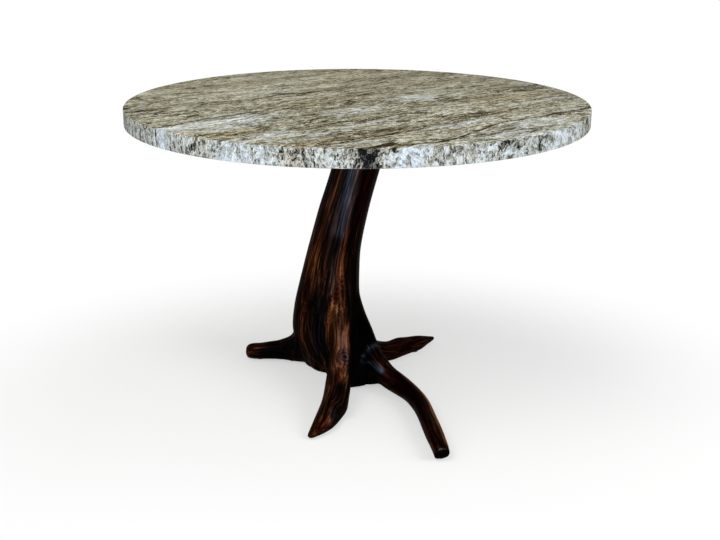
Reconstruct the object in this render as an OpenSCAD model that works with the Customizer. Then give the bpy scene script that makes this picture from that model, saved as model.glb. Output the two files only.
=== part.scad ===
/* [Table] */
// Height of the granite's upper face above the floor
table_h = 750; // [720:1:790]

/* [Granite top] */
// Diameter of the granite top
top_d = 1219; // [1000:1:1400]
// Thickness of the granite top
top_t = 45; // [36:1:60]
// Radius that eases the upper and lower rims of the granite
top_edge_r = 3; // [1:0.5:8]

/* [Mounting plate] */
// Diameter of the steel plate between trunk and granite
plate_d = 360; // [320:1:440]
// Thickness of the steel plate
plate_t = 8; // [6:0.5:12]
// Bevel round the plate's lower rim
plate_bevel = 2; // [1:0.5:4]

/* [Setting pads] */
// Diameter of a rubber setting pad
pad_d = 32; // [20:1:40]
// Thickness of a rubber setting pad
pad_t = 2; // [1:0.5:4]
// Distance of the pads from the stone bolts, towards the plate's centre
pad_inset = 45; // [40:1:60]
// Number of setting pads
pad_count = 8; // [4:1:10]

/* [Stone bolts] */
// Shank diameter of a stone bolt
bolt_d = 8; // [6:1:10]
// Length of a stone bolt under its head
bolt_len = 28; // [24:1:32]
// Height of a stone bolt's hexagon head
bolt_head_h = 5.3; // [4:0.1:7]
// Width of the hexagon head across its flats
bolt_head_w = 13; // [12:0.5:16]
// Distance of the stone bolts from the plate's rim
bolt_inset = 30; // [20:1:40]
// Number of stone bolts
bolt_count = 4; // [3:1:6]
// Outer diameter of a bolt's washer
washer_d = 22; // [18:0.5:26]
// Thickness of a bolt's washer
washer_t = 1.6; // [1:0.1:3]
// Outer diameter of a threaded insert in the granite
insert_d = 14; // [12.5:0.5:16]
// Length of a threaded insert
insert_len = 24; // [22:1:28]

/* [Trunk screws] */
// Shank diameter of a trunk screw
screw_d = 6; // [5:0.5:7]
// Length of a trunk screw over all
screw_len = 70; // [55:1:80]
// Diameter of a trunk screw's flat head
screw_head_d = 12; // [11:0.5:14]
// Number of trunk screws
screw_count = 6; // [3:1:7]
// Distance of the trunk screws from the side of the trunk
screw_inset = 30; // [26:1:36]

/* [Trunk] */
// Width of the trunk's sawn upper end
trunk_top_w = 130; // [122:1:150]
// Depth of the trunk's sawn upper end
trunk_top_depth = 132; // [122:1:150]
// Distance of the trunk's upper end to the right of the granite's centre
trunk_top_x = 30; // [-20:1:60]
// Distance of the trunk's upper end behind the granite's centre
trunk_top_y = 0; // [-30:1:30]
// Width of the trunk where its belly is widest
belly_w = 196; // [180:1:220]
// Height of the belly above the floor
belly_z = 110; // [90:1:125]
// Height of the hollow under the trunk
hollow_h = 16; // [8:1:24]
// Width of the hollow under the trunk
hollow_w = 130; // [100:1:150]

/* [Left root] */
// Where the left root ends, to the left of the granite's centre
left_tip_x = 314; // [280:1:360]
// Where the left root ends, behind the granite's centre
left_tip_y = 54; // [20:1:90]
// Width of the left root on its way along the floor
left_root_w = 52; // [46:1:64]
// Height of the left root's blunt end
left_tip_h = 38; // [32:1:46]

/* [Front root] */
// Where the front root ends, to the left of the granite's centre
front_tip_x = 114; // [80:1:150]
// Where the front root ends, in front of the granite's centre
front_tip_y = 488; // [430:1:530]
// Width of the front root on its way along the floor
front_root_w = 68; // [58:1:80]
// Height of the front root's pointed end
front_tip_h = 16; // [12:1:26]

/* [Right root] */
// Where the right root ends, to the right of the granite's centre
right_tip_x = 204; // [160:1:250]
// Where the right root ends, in front of the granite's centre
right_tip_y = 606; // [520:1:640]
// Width of the right root on its way along the floor
right_root_w = 44; // [40:1:56]
// Height of the right root's sawn end
right_tip_h = 38; // [32:1:46]

/* [Back root] */
// Where the back root ends, to the right of the granite's centre
back_tip_x = 230; // [190:1:280]
// Where the back root ends, behind the granite's centre
back_tip_y = 194; // [150:1:240]
// Width of the back root on its way along the floor
back_root_w = 46; // [40:1:58]
// Height of the back root's pointed end
back_tip_h = 16; // [12:1:26]

/* [Glides] */
// Diameter of the glide under each root
glide_d = 24; // [20:1:26]
// Thickness of a glide
glide_t = 4; // [3.5:0.5:6]
// Shank diameter of a glide's screw
glide_screw_d = 3.5; // [3:0.1:4]
// Length of a glide's screw over all
glide_screw_len = 16; // [12:1:20]
// Diameter of a glide screw's flat head
glide_head_d = 7; // [6:0.1:8]
// Depth of the screw head below the underside of the glide
glide_sink = 0.8; // [0.4:0.1:1.2]

/* [Hidden] */
$fn = 64;

// gaps left all round a shank, a thread, an insert and a countersunk head
bolt_gap = 0.5;
thread_gap = 0.05;
insert_gap = 0.1;
head_gap = 0.05;

// heights of the joints, from the top down
stone_z = table_h - top_t;
plate_top_z = stone_z - pad_t;
trunk_top_z = plate_top_z - plate_t;
bolt_seat_z = trunk_top_z - washer_t;

// circles on which the fasteners and the pads lie, and the oval of the trunk screws
bolt_r = plate_d / 2 - bolt_inset;
pad_r = bolt_r - pad_inset;
screw_oval = [trunk_top_w / 2 - screw_inset, trunk_top_depth / 2 - screw_inset];
trunk_end = [trunk_top_x, trunk_top_y];

// the fine points of the fasteners
rim_steps = 6;
bevel = 0.8;
tip_share = 0.15;
socket_share = 0.4;
cut_extra = 1;

// fineness of the grown wood
trunk_sides = 40;
trunk_steps = 4;
root_sides = 20;
root_steps = 3;

// the trunk from the floor up: height, centre x, centre y, half width, half depth
trunk_shape = [
    [0, -46, -8, belly_w / 2 - 6, 83],
    [belly_z * 0.4, -64, -8, belly_w / 2 - 3, 92],
    [belly_z, -80, -10, belly_w / 2, 97],
    [165, -82, -10, 94, 95],
    [225, -79, -8, 86, 89],
    [335, -65, -4, 73, 79],
    [450, -38, 0, 69, 72],
    [560, -7, 1, 66, 68],
    [trunk_top_z, trunk_top_x, trunk_top_y, trunk_top_w / 2, trunk_top_depth / 2]
];

// every root starts inside the heel of the trunk and runs to its tip
heel = [-42, -6];
left_tip = [-left_tip_x, left_tip_y];
front_tip = [-front_tip_x, -front_tip_y];
right_tip = [right_tip_x, -right_tip_y];
back_tip = [back_tip_x, back_tip_y];
web_tips = [[2, -172], [62, -148]];

// stations of a root: share of the way to the tip, distance to the left of that way,
// height of the centre, half width, half height
left_shape = [
    [0.07, -4, 95, 52, 50],
    [0.25, -3, 60, 48, 48],
    [0.44, -8, 38, left_root_w / 2 + 14, 40],
    [0.6, -11, 29, left_root_w / 2 + 5, 32],
    [0.74, -9, 24, left_root_w / 2 + 1, 28],
    [0.86, -5, left_tip_h / 2 + 1, left_root_w / 2 - 2, left_tip_h / 2 + 4],
    [0.96, -2, left_tip_h / 2, left_root_w / 2 - 6, left_tip_h / 2],
    [1, 0, left_tip_h / 2, left_root_w / 2 - 13, left_tip_h / 2 - 7]
];
// the ridge that runs down the back of the trunk into the left root
left_ridge_shape = [
    [0.26, -12, 330, 16, 18],
    [0.29, -14, 270, 27, 27],
    [0.32, -15, 215, 33, 33],
    [0.345, -16, 165, 35, 36],
    [0.37, -17, 122, 34, 36],
    [0.4, -17, 86, 30, 34],
    [0.45, -15, 60, 30, 30],
    [0.53, -13, 42, 30, 30],
    [0.64, -11, 31, left_root_w / 2 + 3, 28],
    [0.76, -9, 24, left_root_w / 2 - 4, 22]
];
front_shape = [
    [0.1, 4, 352, 10, 14],
    [0.125, 8, 296, 16, 19],
    [0.155, 12, 240, 22, 24],
    [0.19, 17, 180, 27, 32],
    [0.24, 20, 120, 32, 38],
    [0.34, 25, 76, front_root_w / 2, 40],
    [0.45, 29, 50, front_root_w / 2, 36],
    [0.59, 34, 36, front_root_w / 2, 30],
    [0.72, 35, 28, front_root_w / 2 - 1, 27],
    [0.87, 24, front_tip_h / 2 + 8, front_root_w / 2 - 7, front_tip_h / 2 + 12],
    [1, 0, front_tip_h / 2, front_tip_h / 2, front_tip_h / 2]
];
right_shape = [
    [0.01, 8, 310, 15, 20],
    [0.02, 13, 262, 21, 26],
    [0.04, 15, 210, 28, 30],
    [0.07, 18, 160, 34, 34],
    [0.11, 24, 122, 36, 38],
    [0.16, 31, 88, 34, 38],
    [0.22, 41, 58, 32, 36],
    [0.29, 56, 34, right_root_w / 2 + 7, 32],
    [0.38, 71, 26, right_root_w / 2 + 4, 28],
    [0.47, 78, 23, right_root_w / 2 + 2, 25],
    [0.59, 72, 21, right_root_w / 2 + 1, 23],
    [0.74, 48, 20, right_root_w / 2 + 1, 22],
    [0.94, 13, right_tip_h / 2 + 1, right_root_w / 2 - 1, right_tip_h / 2 + 2],
    [1, 0, right_tip_h / 2, right_root_w / 2 - 3, right_tip_h / 2]
];
back_shape = [
    [0.01, 0, 262, 22, 24],
    [0.04, 0, 200, 28, 30],
    [0.08, 0, 150, 30, 34],
    [0.12, -2, 108, 31, 36],
    [0.18, -10, 70, 31, 34],
    [0.26, -26, 40, 35, 32],
    [0.38, -37, 25, back_root_w / 2 + 11, 27],
    [0.49, -37, 24, back_root_w / 2 + 5, 26],
    [0.6, -34, 24, back_root_w / 2 + 1, 26],
    [0.72, -29, 21, back_root_w / 2 - 4, 23],
    [0.87, -16, back_tip_h / 2 + 7, back_root_w / 2 - 11, back_tip_h / 2 + 7],
    [1, 0, back_tip_h / 2, back_tip_h / 2 - 3, back_tip_h / 2]
];
web_shape = [
    [0.3, 0, 130, 34, 36],
    [0.6, 0, 66, 40, 44],
    [0.8, 0, 30, 42, 30],
    [0.93, 0, 14, 36, 16],
    [1, 0, 7, 22, 7]
];

// where each root carries its glide, as a share of the way to its tip
left_glide_share = 0.87;
front_glide_share = 0.85;
right_glide_share = 0.95;
back_glide_share = 0.7;

// a smooth curve through four neighbouring stations, at a share t between the middle two
function curve(a, b, c, d, t) =
    0.5 * (2 * b + (c - a) * t + (2 * a - 5 * b + 4 * c - d) * t * t
    + (3 * b - a - 3 * c + d) * t * t * t);

// the stations of a list, with steps more between each two
function smooth(list, steps) = let (last = len(list) - 1) [
    for (i = [0 : last - 1], j = [0 : steps - 1])
        curve(list[max(i - 1, 0)], list[i], list[i + 1], list[min(i + 2, last)], j / steps),
    list[last]
];

// the faces of a tube of rings that turn clockwise as seen from its start, closed at both ends
function tube_faces(rings, sides) = [
    [for (s = [sides - 1 : -1 : 0]) s],
    for (r = [0 : rings - 2], s = [0 : sides - 1]) each
        let (n = (s + 1) % sides, a = r * sides + s, b = r * sides + n) [
            [a, b, b + sides],
            [a, b + sides, a + sides]
        ],
    [for (s = [0 : sides - 1]) (rings - 1) * sides + s]
];

// a place on the floor, at a share of the way to a root's tip and aside to the left of it
function on_way(tip, share, aside) =
    let (way = tip - heel)
    heel + share * way + aside * [-way[1], way[0]] / norm(way);

// the place under a root's middle at a share of the way to its tip
function under_root(shape, tip, share) =
    on_way(tip, share, lookup(share, [for (s = shape) [s[0], s[1]]]));

function unit(v) = v / norm(v);
function place(s) = [s[0], s[1], s[2]];

// one ring of a root, square to its path
function root_ring(before, at, after) =
    let (
        ahead = unit(place(after) - place(before)),
        side = unit(cross(ahead, [0, 0, 1])),
        up = cross(side, ahead)
    ) [
        for (i = [0 : root_sides - 1]) let (a = 360 * i / root_sides)
            place(at) + at[3] * cos(a) * side + at[4] * sin(a) * up
    ];

// the places of n things on an oval of these two radii
function around(n, radii) = [
    for (i = [0 : n - 1]) let (a = 360 * (i + 0.5) / n) [radii[0] * cos(a), radii[1] * sin(a)]
];

left_glide_place = under_root(left_shape, left_tip, left_glide_share);
front_glide_place = under_root(front_shape, front_tip, front_glide_share);
right_glide_place = under_root(right_shape, right_tip, right_glide_share);
back_glide_place = under_root(back_shape, back_tip, back_glide_share);
glide_places = [left_glide_place, front_glide_place, right_glide_place, back_glide_place];

bolt_places = around(bolt_count, [bolt_r, bolt_r]);
pad_places = around(pad_count, [pad_r, pad_r]);
screw_places = [for (p = around(screw_count, screw_oval)) trunk_end + p];

module root(shape, tip) {
    path = smooth([for (s = shape) [each on_way(tip, s[0], s[1]), s[2], s[3], s[4]]], root_steps);
    last = len(path) - 1;
    rings = [
        for (i = [0 : last]) each
            root_ring(path[max(i - 1, 0)], path[i], path[min(i + 1, last)])
    ];
    polyhedron(rings, tube_faces(last + 1, root_sides));
}

module trunk() {
    levels = smooth(trunk_shape, trunk_steps);
    rings = [
        for (s = levels, i = [0 : trunk_sides - 1]) let (a = -360 * i / trunk_sides)
            [s[1] + s[3] * cos(a), s[2] + s[4] * sin(a), s[0]]
    ];
    polyhedron(rings, tube_faces(len(levels), trunk_sides));
}

// a flat head screw that hangs from its head, with the head's face at the origin
module flat_screw(d, len, head_d, gap = 0) {
    head_h = (head_d - d) / 2;
    point_h = (len - head_h) * tip_share;
    rotate_extrude()
        polygon([
            [0, 0],
            [head_d / 2 + gap, 0],
            [d / 2 + gap, -head_h],
            [d / 2 + gap, point_h - len],
            [0, -len - gap]
        ]);
}

// the hexagon socket in a screw's head
module socket(head_d, depth) {
    translate([0, 0, -depth])
        cylinder(h = depth + cut_extra, d = head_d * socket_share, $fn = 6);
}

module root_stump() {
    color("#2a1710")
    difference() {
        union() {
            trunk();
            root(left_shape, left_tip);
            root(left_ridge_shape, left_tip);
            root(front_shape, front_tip);
            root(right_shape, right_tip);
            root(back_shape, back_tip);
            for (tip = web_tips) root(web_shape, tip);
        }
        translate([-table_h, -table_h, glide_t - table_h])
            cube([2 * table_h, 2 * table_h, table_h]);
        translate([heel[0], heel[1], glide_t - cut_extra])
            cylinder(h = hollow_h + cut_extra, d = hollow_w);
        for (p = screw_places) translate([p[0], p[1], plate_top_z])
            flat_screw(screw_d, screw_len, screw_head_d, thread_gap);
        for (p = glide_places) translate([p[0], p[1], glide_sink]) mirror([0, 0, 1])
            flat_screw(glide_screw_d, glide_screw_len, glide_head_d, thread_gap);
    }
}

module granite_top() {
    rim = top_d / 2 - top_edge_r;
    eased = [for (i = [0 : rim_steps]) top_edge_r * [cos(90 * i / rim_steps), sin(90 * i / rim_steps)]];
    color("#a49c87")
    translate([0, 0, stone_z])
    difference() {
        rotate_extrude($fn = 128)
            polygon([
                [0, 0],
                for (i = [rim_steps : -1 : 0]) [rim + eased[i][0], top_edge_r - eased[i][1]],
                for (e = eased) [rim + e[0], top_t - top_edge_r + e[1]],
                [0, top_t]
            ]);
        for (p = bolt_places) translate([p[0], p[1], -cut_extra])
            cylinder(h = insert_len + insert_gap + cut_extra, d = insert_d + 2 * insert_gap);
    }
}

module mounting_plate() {
    color("#3a3c3e")
    translate([0, 0, trunk_top_z])
    difference() {
        union() {
            cylinder(h = plate_bevel, d1 = plate_d - 2 * plate_bevel, d2 = plate_d, $fn = 128);
            translate([0, 0, plate_bevel])
                cylinder(h = plate_t - plate_bevel, d = plate_d, $fn = 128);
        }
        for (p = bolt_places) translate([p[0], p[1], -cut_extra])
            cylinder(h = plate_t + 2 * cut_extra, d = bolt_d + 2 * bolt_gap);
        for (p = screw_places) translate([p[0], p[1], plate_t])
            flat_screw(screw_d, screw_len, screw_head_d, head_gap);
    }
}

module setting_pads() {
    color("#1c1c1c")
    for (p = pad_places) translate([p[0], p[1], plate_top_z])
        cylinder(h = pad_t, d = pad_d);
}

module stone_inserts() {
    color("#b59a52")
    for (p = bolt_places) translate([p[0], p[1], stone_z])
        difference() {
            cylinder(h = insert_len, d = insert_d);
            translate([0, 0, -cut_extra])
                cylinder(h = insert_len + 2 * cut_extra, d = bolt_d + 2 * thread_gap);
        }
}

module stone_bolts() {
    color("#b9bbbd")
    for (p = bolt_places) translate([p[0], p[1], bolt_seat_z]) {
        translate([0, 0, -bolt_head_h])
            cylinder(h = bolt_head_h, d = bolt_head_w / cos(30), $fn = 6);
        cylinder(h = bolt_len - bevel, d = bolt_d);
        translate([0, 0, bolt_len - bevel])
            cylinder(h = bevel, d1 = bolt_d, d2 = bolt_d - 2 * bevel);
    }
}

module bolt_washers() {
    color("#c9cbcd")
    for (p = bolt_places) translate([p[0], p[1], bolt_seat_z])
        difference() {
            cylinder(h = washer_t, d = washer_d);
            translate([0, 0, -cut_extra])
                cylinder(h = washer_t + 2 * cut_extra, d = bolt_d + 2 * bolt_gap);
        }
}

module trunk_screws() {
    color("#c2b98f")
    for (p = screw_places) translate([p[0], p[1], plate_top_z])
        difference() {
            flat_screw(screw_d, screw_len, screw_head_d);
            socket(screw_head_d, (screw_head_d - screw_d) / 2);
        }
}

module glide(at) {
    color("#4a4038")
    translate([at[0], at[1], 0])
    difference() {
        union() {
            cylinder(h = bevel, d1 = glide_d - 2 * bevel, d2 = glide_d);
            translate([0, 0, bevel])
                cylinder(h = glide_t - bevel, d = glide_d);
        }
        translate([0, 0, glide_sink]) mirror([0, 0, 1])
            flat_screw(glide_screw_d, glide_screw_len, glide_head_d, head_gap);
        translate([0, 0, -cut_extra])
            cylinder(h = glide_sink + cut_extra, d = glide_head_d + 2 * head_gap);
    }
}

module glide_screws() {
    color("#c2b98f")
    for (p = glide_places) translate([p[0], p[1], glide_sink]) mirror([0, 0, 1])
        difference() {
            flat_screw(glide_screw_d, glide_screw_len, glide_head_d);
            socket(glide_head_d, (glide_head_d - glide_screw_d) / 2);
        }
}

granite_top();
root_stump();
mounting_plate();
setting_pads();
stone_inserts();
stone_bolts();
bolt_washers();
trunk_screws();
glide(left_glide_place);  // left_glide
glide(front_glide_place);  // front_glide
glide(right_glide_place);  // right_glide
glide(back_glide_place);  // back_glide
glide_screws();
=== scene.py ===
from functools import partial
import math

import bmesh
import bpy
import numpy as np
from mathutils import Matrix, Vector, noise


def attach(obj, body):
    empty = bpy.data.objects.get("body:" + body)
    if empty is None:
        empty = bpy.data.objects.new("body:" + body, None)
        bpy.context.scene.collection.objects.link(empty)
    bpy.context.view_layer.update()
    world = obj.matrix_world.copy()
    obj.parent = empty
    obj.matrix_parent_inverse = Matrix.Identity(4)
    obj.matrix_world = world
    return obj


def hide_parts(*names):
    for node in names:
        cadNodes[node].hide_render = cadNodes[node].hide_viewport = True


# Tree stump table: a round granite slab on one leaning trunk of dark root wood.
# Metres, Z up, the viewer stands at -Y. Lengths written in mm are turned to metres where they are used.
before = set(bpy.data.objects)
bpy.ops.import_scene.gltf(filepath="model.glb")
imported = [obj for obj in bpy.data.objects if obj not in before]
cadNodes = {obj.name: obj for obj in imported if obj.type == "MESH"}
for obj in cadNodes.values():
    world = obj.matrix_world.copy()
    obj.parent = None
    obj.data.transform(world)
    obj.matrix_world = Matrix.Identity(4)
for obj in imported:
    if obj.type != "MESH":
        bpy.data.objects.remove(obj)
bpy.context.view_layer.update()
mm = 0.001
noiseRange = (0.3, 0.7)  # where most values of a noise lie


def linear(hexColour):
    # a colour as it is seen on a screen, to the linear values that the shaders work in
    channels = [int(hexColour[k:k + 2], 16) / 255 for k in (1, 3, 5)]
    return [c / 12.92 if c <= 0.04045 else ((c + 0.055) / 1.055) ** 2.4 for c in channels] + [1.0]


def addNode(tree, kind, links=None, out=0, stops=None, **settings):
    # links: socket name or number -> another node's output, or a plain value. Gives back one output.
    node = tree.nodes.new(kind)
    for name, value in settings.items():
        setattr(node, name, value)
    for socket, value in (links or {}).items():
        if isinstance(value, bpy.types.NodeSocket):
            tree.links.new(value, node.inputs[socket])
        else:
            node.inputs[socket].default_value = value
    for number, (place, colour) in enumerate(stops or []):
        elements = node.color_ramp.elements
        element = elements[number] if number < 2 else elements.new(place)
        element.position = place
        element.color = linear(colour)
    return node.outputs[out] if len(node.outputs) else node


def startMaterial(name, shader):
    # shader: plain values, set on the sockets themselves
    material = bpy.data.materials.new(name)
    material.use_nodes = True
    tree = material.node_tree
    tree.nodes.clear()
    surface = addNode(tree, "ShaderNodeBsdfPrincipled", shader)
    addNode(tree, "ShaderNodeOutputMaterial", {"Surface": surface})
    return material, tree, surface.node


def link(tree, output, node, socket):
    tree.links.new(output, node.inputs[socket])


def perSize(size):
    # scales for a pattern whose lengths are size mm, read at places in mm
    return [1 / length for length in size]


def addObject(name, data):
    made = bpy.data.objects.new(name, data)
    bpy.context.scene.collection.objects.link(made)
    return made


def dressNode(name, material):
    mesh = cadNodes[name].data
    mesh.materials.clear()
    mesh.materials.append(material)


# The camera stands where the photograph was taken from
camera = {
    "place": (0.0156, -3.1194, 1.2749),
    "down": 17.652,
    "turn": -0.133,
    "roll": 0.199,
    "focalPixels": 1184.9,
    "framePixels": 720,
}


def makeCamera(values):
    data = bpy.data.cameras.new("photoCamera")
    data.sensor_width = 36
    data.lens = values["focalPixels"] * data.sensor_width / values["framePixels"]
    piece = addObject("photoCamera", data)
    turned = Matrix.Rotation(-math.radians(values["turn"]), 4, "Z")
    tilted = Matrix.Rotation(math.radians(90 - values["down"]), 4, "X")
    rolled = Matrix.Rotation(math.radians(values["roll"]), 4, "Z")
    piece.matrix_world = Matrix.Translation(values["place"]) @ turned @ tilted @ rolled
    bpy.context.scene.camera = piece


makeCamera(camera)
bpy.context.scene.view_settings.view_transform = "Standard"
print("camera ready")

# Studio: pale floor that turns to plain white further off, soft lamps, even surroundings
studio = {
    "floorSize": 40.0,
    "floorColour": "#e5e5e5",
    "whiteCentre": (0, -0.35, 0),
    "whiteNear": 0.5,
    "whiteFrom": 0.62,
    "whiteTo": 1.35,
    "surroundings": 0.45,
}
lamps = {
    # place and aim in metres, width and height of the soft box, watts, colour
    "overhead": ((-1.5, -1.7, 3.2), (0, 0, 0.6), 2.4, 2.4, 72, "#fffdf8"),
    "rightFill": ((2.4, -1.4, 1.5), (0, 0, 0.4), 1.6, 1.4, 50, "#ffffff"),
    "lowFront": ((-0.42, -2.2, 0.24), (-0.02, 0.0, 0.45), 1.3, 0.45, 28, "#ebeefb"),
}


def seenRays(tree):
    # 1 for what the camera sees, straight, in gloss or through glass
    rays = addNode(tree, "ShaderNodeLightPath").node.outputs
    seen = rays["Is Camera Ray"]
    for other in ("Is Glossy Ray", "Is Transmission Ray"):
        seen = addNode(tree, "ShaderNodeMath", {0: seen, 1: rays[other]}, operation="MAXIMUM")
    return seen


def makeStudio(values, lampValues):
    half = values["floorSize"] / 2
    mesh = bpy.data.meshes.new("studioFloor")
    corners = [(-half, -half, 0), (half, -half, 0), (half, half, 0), (-half, half, 0)]
    mesh.from_pydata(corners, [], [(0, 1, 2, 3)])
    floor = addObject("studioFloor", mesh)
    material = bpy.data.materials.new("matt pale floor")
    material.use_nodes = True
    tree = material.node_tree
    tree.nodes.clear()
    node = partial(addNode, tree)
    place = node("ShaderNodeTexCoord", out=3)
    fromCentre = node("ShaderNodeVectorMath", {0: place, 1: values["whiteCentre"]}, out=1,
                      operation="DISTANCE")
    far = node("ShaderNodeMapRange", {0: fromCentre, 1: values["whiteFrom"], 2: values["whiteTo"],
                                      3: values["whiteNear"]}, interpolation_type="SMOOTHSTEP")
    whiten = node("ShaderNodeMath", {0: far, 1: seenRays(tree)}, operation="MULTIPLY")
    matt = node("ShaderNodeBsdfDiffuse", {"Color": linear(values["floorColour"])})
    white = node("ShaderNodeEmission", {"Color": (1, 1, 1, 1), "Strength": 1.0})
    mixed = node("ShaderNodeMixShader", {0: whiten, 1: matt, 2: white})
    node("ShaderNodeOutputMaterial", {"Surface": mixed})
    mesh.materials.append(material)

    world = bpy.data.worlds.new("studioWorld")
    bpy.context.scene.world = world
    world.use_nodes = True
    tree = world.node_tree
    tree.nodes.clear()
    strength = addNode(tree, "ShaderNodeMapRange", {0: seenRays(tree), 3: values["surroundings"]})
    shade = addNode(tree, "ShaderNodeBackground", {"Color": (1, 1, 1, 1), "Strength": strength})
    addNode(tree, "ShaderNodeOutputWorld", {"Surface": shade})

    for name, (place, aim, width, height, watts, colour) in lampValues.items():
        data = bpy.data.lights.new(name, "AREA")
        data.shape = "RECTANGLE"
        data.size = width
        data.size_y = height
        data.energy = watts
        data.color = linear(colour)[:3]
        lamp = addObject(name, data)
        lamp.visible_camera = False
        lamp.location = place
        lamp.rotation_euler = (Vector(aim) - Vector(place)).to_track_quat("-Z", "Y").to_euler()


makeStudio(studio, lamps)
print("studio ready")

# Granite: a gneissic stone. Its bands run at strikeDegrees to +X and stand upright in the slab, so the cut
# edge shows them as short upright streaks. Lengths in mm, u along the bands and v across them.
granite = {
    "strikeDegrees": 38,
    "slowBend": ((260, 150, 300), (40, 34, 20)),  # length of the bends, and how far they reach
    "quickBend": ((46, 26, 60), (12, 8, 12)),
    "ragged": ((8, 5, 10), (3, 2, 4)),
    "wavy": ((60, 34, 50), (16, 9, 12)),
    "patchHeight": 727,
    "patchDepth": 200,
    "patchRim": (1.35, 0.4),  # a patch fades in between these shares of its size
    "fraySize": (64, 24, 44),
    "fray": 1.5,
    "veinSpan": 1400,
    "veinRim": (1.8, 0.5),  # a vein fades in between these shares of its half width
    "hairlineSize": (150, 30, 120),
    "hairlineHalf": 0.03,
    "gapSize": (110, 60, 90),
    "gapRange": (0.4, 0.58),
    "lineShow": (0.45, 0.8),  # how well veins and hairlines show, from crystal to crystal
    "calmFrom": -250,
    "calmTo": 350,
    "calmest": 0.62,
    "crystalHue": 0.55,  # how far single crystals lean to blue or brown
    "paleRange": (0.35, 0.6),  # only crystals paler than this turn blue
    "tintRange": (0.1, 1.1),
    "bluest": 0.9,
    "brownest": 0.8,
}
# soft patches: u, v, half length, half width, and how much lighter or darker and bluer or browner
granitePatches = [
    (-585, -42, 90, 30, 0.16, 1.0),
    (-394, -24, 140, 60, 0.11, 0.8),
    (-430, -100, 110, 40, 0.10, 0.8),
    (-103, -110, 110, 50, 0.09, 0.6),
    (143, -56, 80, 36, 0.11, 0.8),
    (-152, -261, 90, 30, 0.09, 0.6),
    (175, -482, 120, 40, 0.09, 0.7),
    (119, -266, 110, 40, 0.07, 0.0),
    (98, 389, 110, 50, 0.05, 0.5),
    (253, -8, 130, 70, 0.06, 0.2),
    (430, 200, 200, 120, 0.01, -0.35),
    (-420, -235, 80, 30, 0.15, 1.0),
    (-330, -300, 80, 26, 0.12, 0.9),
    (-10, -395, 120, 34, 0.13, 0.9),
    (40, -560, 200, 60, 0.10, 0.9),
    (-270, -545, 80, 16, 0.15, 1.1),
    (-330, -440, 60, 18, 0.13, 0.9),
    (-560, -250, 90, 50, 0.08, 0.6),
    (420, -420, 120, 60, 0.06, 0.3),
    (576, -36, 40, 24, 0.08, 0.6),
    (480, -290, 70, 34, 0.05, 0.8),
    (-480, -330, 60, 20, 0.06, 0.6),
    (-502, -178, 90, 44, -0.10, -0.7),
    (-475, -382, 50, 20, -0.10, -0.6),
    (-290, -378, 190, 30, -0.10, -0.7),
    (352, -189, 150, 70, -0.03, -0.6),
    (120, -330, 130, 26, -0.08, -0.6),
    (-60, 60, 150, 60, -0.05, -0.4),
    (-100, 424, 260, 110, 0.03, -0.3),
    (255, 400, 200, 70, 0.05, -0.6),
    (-90, 290, 90, 50, 0.08, 0.2),
    (60, 250, 110, 30, 0.08, -0.3),
]
# dark veins: their way over the slab as u, v, with half width and strength
graniteVeins = [
    ([(-590, 214), (-470, 205), (-389, 214), (-310, 172), (-230, 172), (-130, 205), (-20, 196), (90, 190),
      (300, 232)], 2.6, 0.6),
    ([(-660, -36), (-582, -14), (-470, 14), (-389, 24), (-300, 22)], 3.0, 0.7),
    ([(-380, -494), (-300, -498), (-231, -522), (-149, -530), (-40, -496), (52, -458), (216, -448),
      (322, -440), (450, -434)], 3.6, 0.75),
    ([(-420, -492), (-340, -494), (-300, -489), (-262, -484)], 13, 0.85),
    ([(-170, -224), (-110, -214), (-60, -220), (20, -206)], 2.8, 0.55),
    ([(-500, -400), (-389, -408), (-300, -420), (-200, -424)], 2.6, 0.5),
    ([(-30, -372), (60, -352), (160, -350), (280, -318)], 2.2, 0.45),
    ([(-360, 330), (-250, 352), (-120, 340), (40, 366)], 2.2, 0.35),
    ([(-330, 96), (-240, 84), (-140, 108), (-20, 98)], 2.2, 0.4),
    ([(-30, 60), (80, 74), (190, 60), (300, 82)], 2.0, 0.35),
    ([(-620, 118), (-520, 128), (-440, 112), (-380, 124)], 2.4, 0.45),
]
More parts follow.
